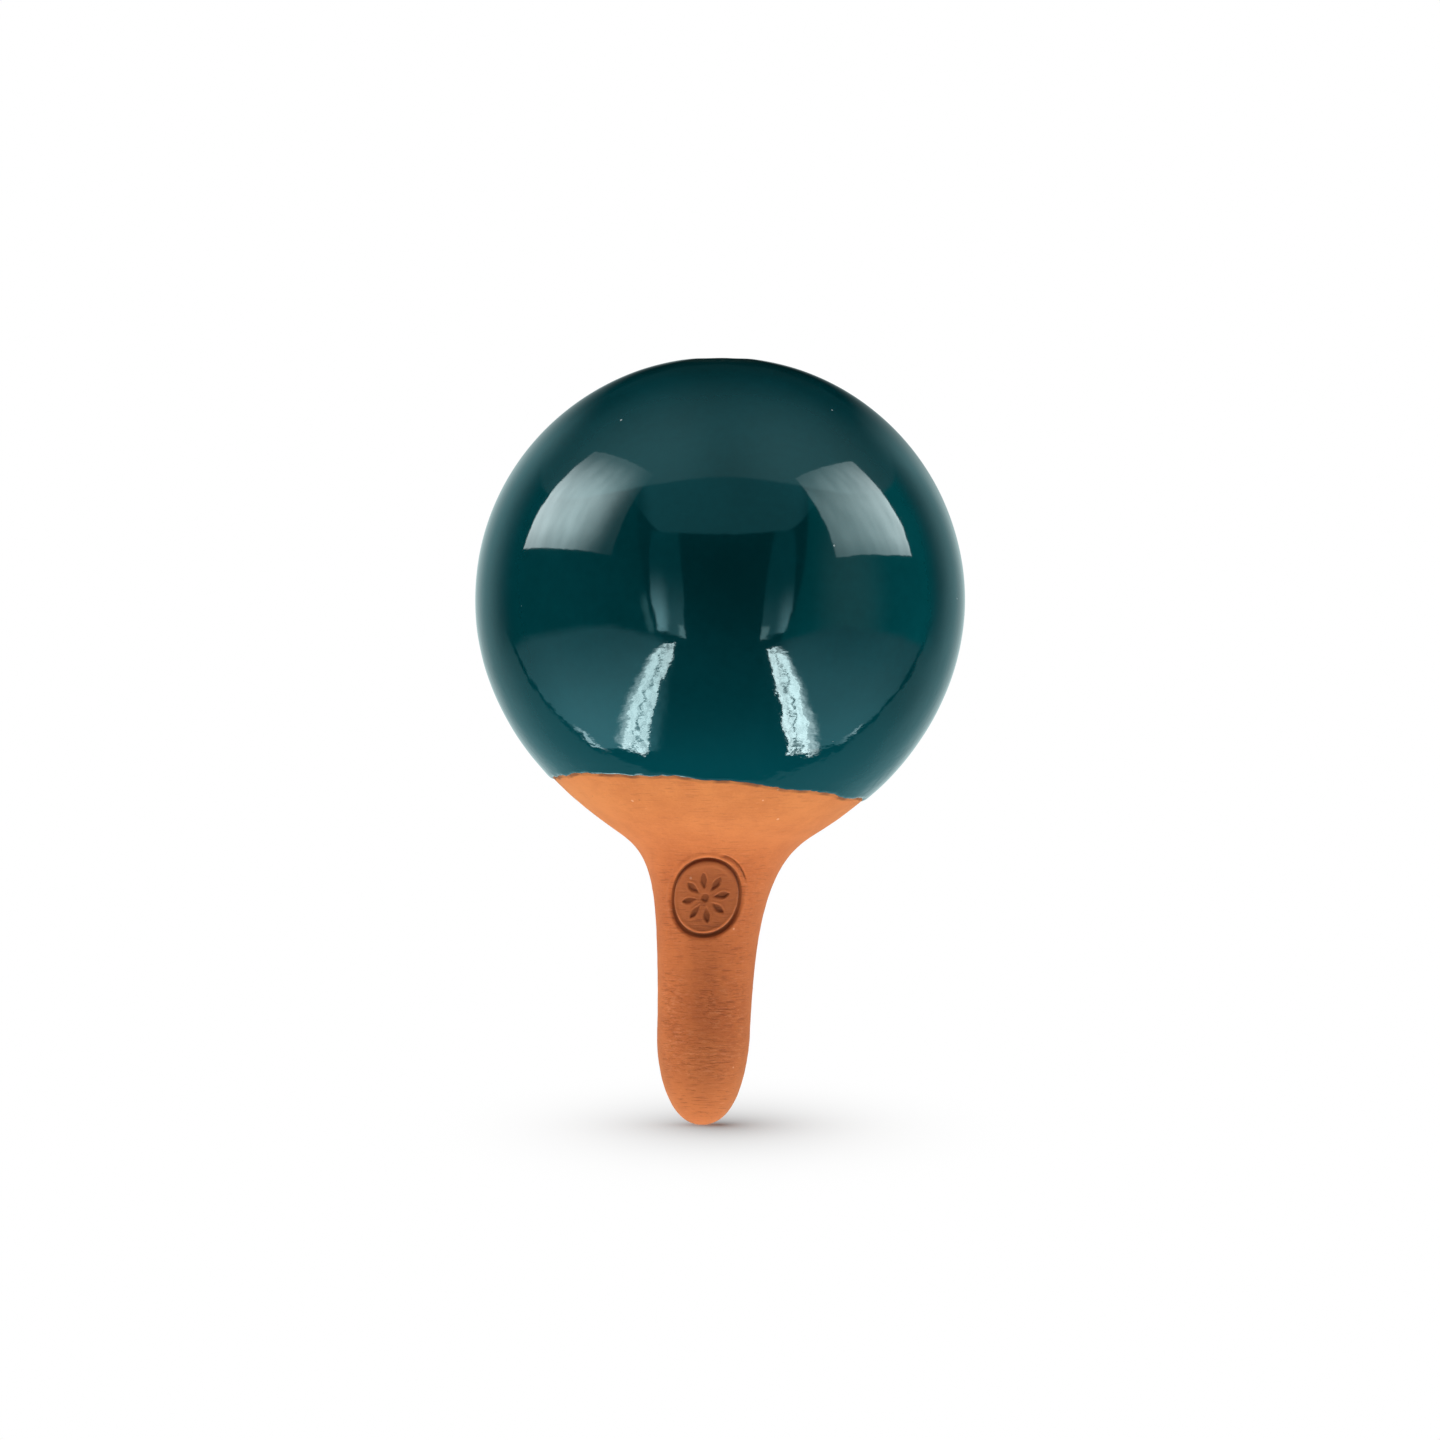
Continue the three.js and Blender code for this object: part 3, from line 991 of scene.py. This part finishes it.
def studio_features(nodes):
    """The strength of each feature by direction, a unit vector: x to the right, y to the back, z up."""
    step, fade, product, total = nodes.step, nodes.fade, nodes.product, nodes.total
    minus, absolute, power = nodes.minus, nodes.absolute, nodes.power
    toward = nodes.add("ShaderNodeTexCoord").outputs["Generated"]
    x, y, z = nodes.apart(toward)
    right = step(x, -0.3, 0.3)

    def sided(on_left, on_right):
        return step(right, 0.0, 1.0, on_left, on_right)

    # Distance from the middle of the opening, a little to the right, and from the middle itself
    aside = absolute(minus(x, 0.03))
    aside_squared = power(aside, 2.0)
    out = absolute(x)

    # The ceiling, and the dim stretch under it where the backdrop isn't seen
    overhead = step(total(z, product(y, 0.23), product(aside_squared, 0.2)), 0.711, 0.731)
    under_ceiling = minus(1.0, overhead)
    ceiling = product(overhead, step(y, -0.35, 0.72, 1.0, 0.02), step(aside, 0.0, 0.35, 0.75, 1.0))
    rounded = nodes.math("SQRT", total(aside_squared, 0.0144))
    beside = step(minus(rounded, product(z, 0.82)), -0.12, 0.2)

    # The backdrop: its lower edge is crisp and a little frayed, its upper edge is gentle
    lowered = product(nodes.math("MINIMUM", z, 0.0), -0.5)
    frayed = product(minus(nodes.noise(toward, 14.0, 2), 0.5), 0.06)
    back = total(y, lowered, sided(-0.045, 0.0), frayed)
    crisp = product(step(back, 0.54, 0.558), fade(z, -0.3, -0.05))
    gentle = product(step(y, 0.38, 0.8), step(z, -0.3, -0.05))
    backdrop = product(total(crisp, gentle), step(y, 0.45, 0.8, 0.6, 1.0), beside)
    glare = product(step(y, 0.78, 1.0), beside)

    # The dark opening: a valance with rounded corners over it, and posts with bright feet beside it
    before = fade(y, -0.6, -0.45)
    corner = power(nodes.positive(minus(aside, 0.45)), 2.0)
    valance = product(
        step(minus(z, product(corner, 6.0)), 0.495, 0.515), under_ceiling, fade(y, -0.42, -0.3),
        step(aside, 0.5, 0.6, 1.0, 0.3),
    )
    leaning = minus(aside, product(z, sided(0.03, 0.1)))
    bow = product(power(minus(z, 0.17), 2.0), 0.35)
    bowed = total(out, bow, sided(0.0, -0.033))
    posts = product(
        step(leaning, 0.314, 0.33), fade(bowed, 0.53, 0.55),
        step(minus(z, product(aside, 0.38)), -0.465, -0.445), fade(z, 0.495, 0.515), before,
    )
    feet = product(
        posts, step(leaning, 0.42, 0.51, 0.16, 1.0), power(fade(z, -0.24, sided(0.34, 0.22)), 1.7),
        sided(1.0, 0.6),
    )
    blobs = product(posts, fade(leaning, 0.36, 0.39), fade(z, -0.25, -0.21))

    # The pale floor at both sides, which ends at the backdrop, and the bright rail along its end
    droop = product(nodes.positive(minus(0.8, aside)), 0.4)
    low = fade(total(z, droop), -0.24, -0.17)
    nip = nodes.positive(minus(0.66, out))
    wings = product(
        low, step(aside, 0.38, 0.52), fade(total(back, nip), 0.5, 0.52), step(z, -0.75, -0.2, 1.0, 0.4),
        step(y, -0.05, 0.45, 1.0, 0.6), sided(1.0, 0.72),
    )
    rail = product(
        step(back, 0.478, 0.488), fade(back, 0.5, 0.51), step(z, -0.8, -0.74), fade(z, -0.68, -0.62),
        step(aside, 0.6, sided(0.64, 0.74)),
    )

    # The dim walls beyond the posts, with a patch of light on the right and a streak on the left
    flanks = product(
        fade(low, 0.0, 1.0), step(minus(bowed, product(z, 0.12)), 0.558, 0.58), under_ceiling,
        fade(y, 0.3, 0.6),
    )
    patch = product(flanks, right, step(aside, 0.62, 0.84), fade(y, -0.4, 0.0))
    streak = product(
        step(bowed, 0.563, 0.578), fade(bowed, 0.585, 0.63), step(z, -0.3, -0.24), fade(z, -0.06, 0.06),
        fade(right, 0.0, 0.5), before,
    )

    # A small card low behind the object
    card = product(
        step(y, 0.5, 0.56), fade(z, -0.62, -0.58), step(x, -0.36, -0.3), fade(x, -0.14, -0.08),
    )
    walls = product(flanks, sided(0.33, 1.0))
    return dict(
        card=card, blobs=blobs, backdrop=backdrop, glare=glare, ceiling=ceiling, valance=valance,
        posts=posts, feet=feet, streak=streak, wings=wings, flanks=walls, patch=patch, rail=rail,
    )


def studio_world():
    """White behind the object, even light for matt surfaces, and the studio that the glaze mirrors."""
    world = bpy.data.worlds.new("studio")
    scene.world = world
    world.use_nodes = True
    nodes = Nodes(world.node_tree)
    direct, gloss = seen_rays(nodes)
    other = nodes.minus(1.0, nodes.math("MAXIMUM", direct, gloss))
    plain = nodes.total(direct, nodes.product(other, AMBIENT))
    shader = nodes.add("ShaderNodeBackground", {"Color": (1, 1, 1, 1), "Strength": plain}).outputs[0]
    for name, strength in studio_features(nodes).items():
        inputs = {"Color": STUDIO[name], "Strength": nodes.product(gloss, strength)}
        light = nodes.add("ShaderNodeBackground", inputs)
        shader = nodes.add("ShaderNodeAddShader", {0: shader, 1: light.outputs[0]}).outputs[0]
    nodes.end("ShaderNodeOutputWorld", shader)


def panel(name, centre, facing, up, size, radiance, pattern=None):
    """A rectangular lamp. A pattern gives the share of its radiance by the place across and up it."""
    lamp = bpy.data.lights.new(name, "AREA")
    lamp.shape = "RECTANGLE"
    lamp.size, lamp.size_y = size
    lamp.energy = radiance * math.pi * size[0] * size[1]
    back = -Vector(facing).normalized()
    across = Vector(up).cross(back).normalized()
    turn = Matrix((across, back.cross(across), back)).transposed()
    holder = bpy.data.objects.new(name, lamp)
    holder.matrix_world = Matrix.Translation(centre) @ turn.to_4x4()
    holder.visible_camera = False
    if pattern:
        lamp.use_nodes = True
        nodes = Nodes(lamp.node_tree)
        place = nodes.add("ShaderNodeNewGeometry").outputs["Parametric"]
        emission = nodes.add("ShaderNodeEmission", {"Strength": pattern(nodes, place)})
        nodes.end("ShaderNodeOutputLight", emission.outputs[0])
    scene.collection.objects.link(holder)
    return holder


def softbox(outer, inner, radiance, inwards_dim, upwards_dim):
    """An upright softbox from its outer to its inner end in plan, with faint folds in its cloth."""
    side = math.copysign(1, outer[0])
    outer, inner = Vector(outer), Vector(inner)
    middle = (outer + inner) / 2
    along = (inner - outer).normalized()
    facing = (side * along[1], -side * along[0], 0)
    size = ((inner - outer).length, SOFTBOX_TOP - SOFTBOX_FOOT)

    def glow(nodes, place):
        across, up, _ = nodes.apart(place)
        inwards = across if side < 0 else nodes.minus(1.0, across)
        slanted = nodes.total(inwards, nodes.product(nodes.minus(1.0, up), SOFTBOX_SLANT))
        fading = nodes.total(inwards, nodes.product(nodes.minus(0.3, up), DIM_LEAN))
        folds = nodes.noise(nodes.scaled(place, (7, 2, 1)), 1.0, 2)
        return nodes.product(
            nodes.fade(slanted, 0.98, 1.0),
            nodes.step(fading, *inwards_dim),
            nodes.step(up, *upwards_dim),
            nodes.step(up, -0.02, 0.16, 0.6, 1.0),
            nodes.step(folds, 0.3, 0.7, 0.88, 1.12),
        )

    centre = (middle[0], middle[1], EQUATOR_HEIGHT * MM + (SOFTBOX_FOOT + SOFTBOX_TOP) / 2)
    return panel(f"softbox_{side:+.0f}", centre, facing, (0, 0, 1), size, radiance, glow)


def strip(near, far, radiance, slant):
    """A crinkled strip of light below the bulb, from its near to its far end in plan, for gloss only."""
    side = math.copysign(1, near[0])
    near, far = Vector(near), Vector(far)
    middle = (near + far) / 2

    def glow(nodes, place):
        step, fade, product, total = nodes.step, nodes.fade, nodes.product, nodes.total
        minus, absolute, power = nodes.minus, nodes.absolute, nodes.power
        across, along, _ = nodes.apart(place)

        def crumpled(scale, detail, roughness):
            return minus(nodes.noise(nodes.scaled(place, scale), 1.0, detail, roughness), 0.5)

        # Distance from the middle line, positive on the outer side, and shifted where the strip is wider
        out = product(minus(across, 0.5), -side * STRIP_WIDTH / STRIP_UNIT)
        wider = product(step(along, 0.03, 0.16), fade(along, 0.25, 1.0))
        shifted = minus(minus(out, product(wider, 0.055)), 0.01)

        # The bright core with a ragged edge, and a gap near its far end
        ragged = product(crumpled((10, 46, 1), 3, 0.6), 0.13)
        edge = total(absolute(shifted), ragged, product(wider, -0.115))
        core = fade(edge, 0.185, 0.205)
        gap = step(absolute(minus(along, 0.07)), 0.006, 0.014)

        # Dark cracks that waver along it, and finer creases
        drift = crumpled((4, 15, 1), 3, 0.55)
        middle_line = absolute(total(shifted, product(drift, 0.75)))
        side_line = absolute(total(shifted, product(drift, -1.1), 0.1))
        crease = absolute(crumpled((14, 9, 1), 3, 0.65))
        cracks = product(
            step(middle_line, 0.012, 0.045, 0.12, 1.0), step(side_line, 0.005, 0.035, 0.5, 1.0),
            step(crease, 0.0, 0.06, 0.66, 1.04),
        )

        # The halo beyond the core on the outer side
        halo = product(
            power(fade(edge, 0.18, 0.48), 2.0), step(edge, 0.185, 0.205),
            step(out, 0.0, 0.1, 0.0, 0.45),
        )
        reach = minus(along, product(total(out, 0.2), slant))
        near_end = fade(reach, 0.93, 0.945)
        return product(total(product(core, cracks, gap), halo), near_end)

    centre = (middle[0], middle[1], EQUATOR_HEIGHT * MM - STRIP_DEPTH)
    way = (near[0] - far[0], near[1] - far[1], 0)
    size = (STRIP_WIDTH, (near - far).length)
    lamp = panel(f"strip_{side:+.0f}", centre, (0, 0, 1), way, size, radiance, glow)
    lamp.visible_diffuse = False


def lamps(pieces):
    """The lamps. Softboxes and fills light the pieces alone, so that the floor's shadow stays soft."""
    lit = bpy.data.collections.new("lit_from_the_sides")
    for piece in pieces:
        lit.objects.link(piece)
    for plan in SOFTBOXES:
        softbox(*plan).light_linking.receiver_collection = lit
    for side, radiance in FILLS:
        centre = (side * FILL_PLACE[0], FILL_PLACE[1], FILL_PLACE[2])
        fill = panel(f"fill_{side:+d}", centre, (-side, 0, 0), (0, 0, 1), FILL_SIZE, radiance)
        fill.light_linking.receiver_collection = lit
        fill.visible_glossy = False
    for plan in STRIPS:
        strip(*plan)
    for name, plan in HIDDEN_LAMPS.items():
        panel(name, *plan).visible_glossy = False


def floor():
    """A pale disc with a painted shadow round its middle, on grey paper that also takes the real shadow,
    running out into the white background.
    """
    rings = np.array(FLOOR_RINGS)[:, None]
    angle = np.linspace(0, 2 * math.pi, FLOOR_COLUMNS, endpoint=False)
    parts = np.broadcast_arrays(rings * np.sin(angle), -rings * np.cos(angle), np.zeros((1, 1)))
    points = np.stack(parts, -1).reshape(-1, 3)
    index = np.arange(len(points)).reshape(len(rings), -1)
    index[0] = 0
    corners = [index[:-1], index[1:], np.roll(index[1:], -1, 1), np.roll(index[:-1], -1, 1)]
    disc = new_object("floor", points, corners)

    # The painted shadow's share by distance from the floor's middle, from 1 at the middle to 0 where it
    # has run out
    material, nodes = new_material("floor")
    x, y, _ = nodes.apart(nodes.place())
    out = nodes.math("SQRT", nodes.total(
        nodes.power(nodes.product(x, 1 / SHADOW_REACH[0]), 2.0),
        nodes.power(nodes.product(y, 1 / SHADOW_REACH[1]), 2.0),
    ))
    share = nodes.power(nodes.minus(1.0, nodes.math("MINIMUM", out, 1.0)), SHADOW_POWER)

    # Grey paper that takes the real shadow, lifted by a glow that dims near the contact as painted shade,
    # and plain white beyond
    direct, gloss = seen_rays(nodes)
    seen = nodes.math("MAXIMUM", direct, gloss)
    paper = nodes.add("ShaderNodeBsdfDiffuse", {"Color": FLOOR_GREY}).outputs[0]
    nearby = {"Distance": CONTACT_REACH}
    clear = nodes.add("ShaderNodeAmbientOcclusion", nearby, samples=CONTACT_SAMPLES).outputs["AO"]
    strength = nodes.product(seen, nodes.power(clear, CONTACT_POWER), FLOOR_LIFT)
    lift = nodes.add("ShaderNodeEmission", {"Strength": strength}).outputs[0]
    shaded = nodes.add("ShaderNodeAddShader", {0: paper, 1: lift}).outputs[0]
    white = nodes.add("ShaderNodeEmission", {"Strength": seen}).outputs[0]
    blend = nodes.add("ShaderNodeMixShader", {0: share, 1: white, 2: shaded})
    nodes.end("ShaderNodeOutputMaterial", blend.outputs[0])
    disc.data.materials.append(material)
    disc.visible_shadow = False
    disc.visible_glossy = False
    disc.visible_diffuse = False


def camera():
    lens = bpy.data.cameras.new("camera")
    lens.sensor_width = SENSOR
    lens.lens = SENSOR * CAMERA_DISTANCE / FRAME_WIDTH
    holder = bpy.data.objects.new("camera", lens)
    holder.location = (0, -CAMERA_DISTANCE, CAMERA_HEIGHT)
    holder.rotation_euler = (math.pi / 2, 0, 0)
    scene.collection.objects.link(holder)
    scene.camera = holder


def dress(piece, material, body, node):
    piece.data.materials.append(material)
    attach(piece, body)
    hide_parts(node)
    return piece


scene.view_settings.view_transform = "Standard"
clay = terracotta()
pieces = [
    dress(bulb_clay(), clay, "vessel", "reservoir_bulb"),
    dress(spike_clay(), clay, "vessel", "porous_spike"),
    dress(slip_seam(), clay, "vessel", "luting_slip"),
    dress(glaze_skin(), teal_glaze(), "vessel", "glaze_coat"),
    dress(cork(), natural_cork(), "stopper", "cork_stopper"),
]
camera()
studio_world()
lamps(pieces)
floor()
